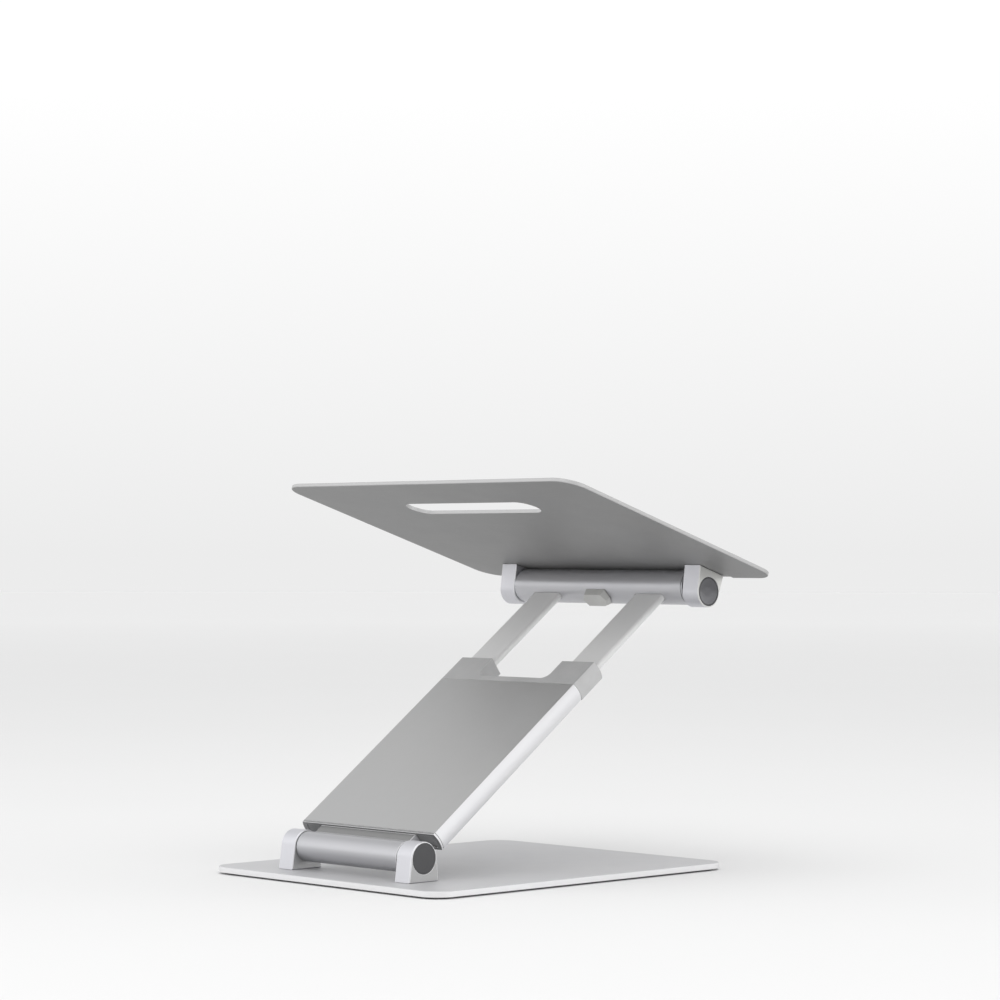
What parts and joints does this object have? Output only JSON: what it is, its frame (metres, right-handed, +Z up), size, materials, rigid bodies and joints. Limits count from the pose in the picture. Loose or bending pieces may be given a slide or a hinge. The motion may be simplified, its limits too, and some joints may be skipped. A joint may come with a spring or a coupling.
{
  "type": "laptop stand",
  "caption": "Folding aluminium laptop stand: flat base, friction-hinged telescoping arm and a tilting tray with a cable slot and front hooks.",
  "frame": {"origin": "centre of the base mat's underside, on the surface the stand rests on", "axes": "+Z up; +X to the right of the person using the laptop; -Y towards that person, +Y towards the lower hinge and the back of the laptop"},
  "size_m": [0.272, 0.2843, 0.2534],
  "materials": {
    "satin_aluminium": "fine bead-blasted satin anodising, silver",
    "tube_aluminium": "satin anodised turned tube, silver",
    "bright_aluminium": "smooth satin anodising with bright edges",
    "collar_grey": "fine moulded texture, light grey to match the metal",
    "bumper_grey": "smooth moulded, warm grey",
    "dark_plastic": "matte moulded, dark grey",
    "black_silicone": "matte silicone",
    "steel": "machined steel",
    "nylon": "natural nylon"
  },
  "bodies": {
    "base": {"base_plate": "satin_aluminium", "base_mat": "black_silicone", "lower_bracket_right": "bright_aluminium", "lower_bracket_left": "bright_aluminium", "base_screw_right_1": "steel", "base_screw_left_1": "steel", "base_screw_right_2": "steel", "base_screw_left_2": "steel", "lower_cap_right": "dark_plastic", "lower_cap_left": "dark_plastic", "lower_shaft_right": "steel", "lower_shaft_left": "steel", "lower_friction_washer_right": "nylon", "lower_friction_washer_left": "nylon", "lower_disc_spring_right": "steel", "lower_disc_spring_left": "steel", "lower_nut_right": "steel", "lower_nut_left": "steel"},
    "arm": {"lower_tube": "tube_aluminium", "arm_root_block": "satin_aluminium", "arm_shell": "satin_aluminium", "arm_collar": "collar_grey", "lower_bush_right": "steel", "lower_bush_left": "steel", "arm_screw_right": "steel", "arm_screw_left": "steel", "arm_end_plug_right": "dark_plastic", "arm_end_plug_left": "dark_plastic", "slide_liner_right": "nylon", "slide_liner_left": "nylon"},
    "carriage": {"bar_right": "bright_aluminium", "bar_left": "bright_aluminium", "bar_crosshead": "dark_plastic", "upper_tube": "tube_aluminium", "tube_bumper": "bumper_grey", "upper_bush_right": "steel", "upper_bush_left": "steel"},
    "tray": {"tray_plate": "satin_aluminium", "upper_bracket_right": "bright_aluminium", "upper_bracket_left": "bright_aluminium", "tray_screw_right_1": "steel", "tray_screw_left_1": "steel", "tray_screw_right_2": "steel", "tray_screw_left_2": "steel", "upper_cap_right": "dark_plastic", "upper_cap_left": "dark_plastic", "upper_shaft_right": "steel", "upper_shaft_left": "steel", "upper_friction_washer_right": "nylon", "upper_friction_washer_left": "nylon", "upper_disc_spring_right": "steel", "upper_disc_spring_left": "steel", "upper_nut_right": "steel", "upper_nut_left": "steel", "hook_pad_right": "black_silicone", "hook_pad_left": "black_silicone", "tray_pad_right": "black_silicone", "tray_pad_left": "black_silicone"}
  },
  "joints": [
    {"name": "lower_hinge", "type": "hinge", "parent": "base", "child": "arm", "pos_m": [0, 0.0981, 0.0194], "axis": [-1, 0, 0], "range_deg": [-35.9, 24.1]},
    {"name": "telescope", "type": "slide", "parent": "arm", "child": "carriage", "axis": [0, -0.81, 0.5864], "range_m": [-0.077, 0.008]},
    {"name": "tray_tilt", "type": "hinge", "parent": "carriage", "child": "tray", "pos_m": [0, -0.12796, 0.18428], "axis": [1, 0, 0], "range_deg": [-53.2, 24.8]}
  ]
}
